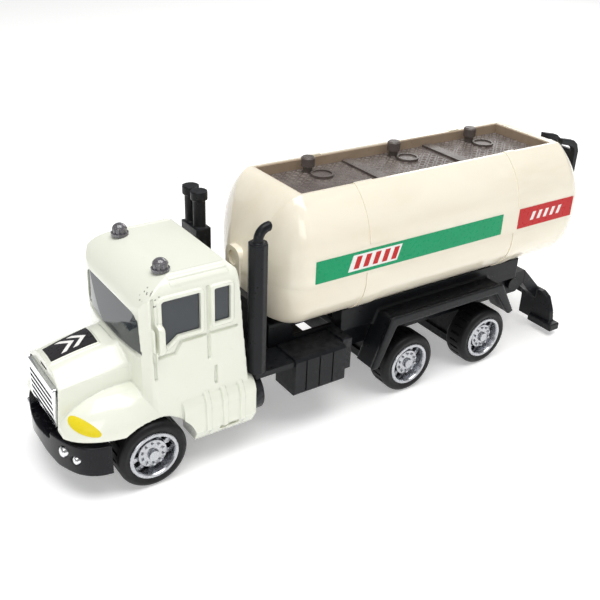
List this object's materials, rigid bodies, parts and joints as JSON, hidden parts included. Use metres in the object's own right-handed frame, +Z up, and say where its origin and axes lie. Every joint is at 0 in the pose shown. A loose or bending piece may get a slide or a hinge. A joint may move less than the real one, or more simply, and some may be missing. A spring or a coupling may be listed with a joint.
{
  "type": "toy tanker truck",
  "caption": "Conventional-cab toy tanker truck with a domed oval tank, tread-plate deck, exhaust stacks, rear ladder and free-rolling wheels on steel axles.",
  "frame": {"origin": "on the floor below the middle of the truck's box, midway between nose and ladder", "axes": "+X forward to the nose, +Y to the truck's left side, +Z up"},
  "size_m": [0.1705, 0.0394, 0.0627],
  "materials": {
    "cab_enamel": "gloss",
    "tank_cream": "gloss",
    "smoky_clear": "gloss",
    "beacon_clear": "gloss",
    "deck_smoke": "satin",
    "bright_plating": "polished",
    "rim_plating": "satin",
    "lamp_plating": "polished",
    "bumper_black": "gloss",
    "chassis_black": "satin",
    "tyre_black": "satin",
    "axle_steel": "brushed",
    "label_black": "satin",
    "label_green": "gloss",
    "label_red": "gloss"
  },
  "bodies": {
    "root": {"cab_body": "cab_enamel", "cab_glazing": "smoky_clear", "roof_beacons": "beacon_clear", "grille": "bright_plating", "front_bumper": "bumper_black", "fog_lamps": "lamp_plating", "hood_label": "label_black", "tank_upper_shell": "tank_cream", "tank_lower_shell": "tank_cream", "tank_deck": "deck_smoke", "filler_caps": "deck_smoke", "green_labels": "label_green", "red_labels": "label_red", "rear_ladder": "chassis_black", "chassis_frame": "chassis_black", "bed_frame": "chassis_black", "stack_panel": "chassis_black", "exhaust_stack": "chassis_black", "intake_stacks": "chassis_black", "rear_underrun": "chassis_black", "axle_keepers": "chassis_black", "base_screws": "axle_steel"},
    "front_wheels": {"front_axle": "axle_steel", "front_left_rim": "rim_plating", "front_left_tyre": "tyre_black", "front_right_rim": "rim_plating", "front_right_tyre": "tyre_black"},
    "middle_wheels": {"middle_axle": "axle_steel", "middle_left_rim": "rim_plating", "middle_left_tyre": "tyre_black", "middle_right_rim": "rim_plating", "middle_right_tyre": "tyre_black"},
    "rear_wheels": {"rear_axle": "axle_steel", "rear_left_rim": "rim_plating", "rear_left_tyre": "tyre_black", "rear_right_rim": "rim_plating", "rear_right_tyre": "tyre_black"}
  },
  "joints": [
    {"name": "front_wheel_spin", "type": "hinge", "parent": "root", "child": "front_wheels", "pos_m": [0.0648, 0, 0.0085], "axis": [0, 1, 0], "continuous": true},
    {"name": "middle_wheel_spin", "type": "hinge", "parent": "root", "child": "middle_wheels", "pos_m": [-0.0113, 0, 0.0085], "axis": [0, 1, 0], "continuous": true},
    {"name": "rear_wheel_spin", "type": "hinge", "parent": "root", "child": "rear_wheels", "pos_m": [-0.0396, 0, 0.0085], "axis": [0, 1, 0], "continuous": true}
  ]
}
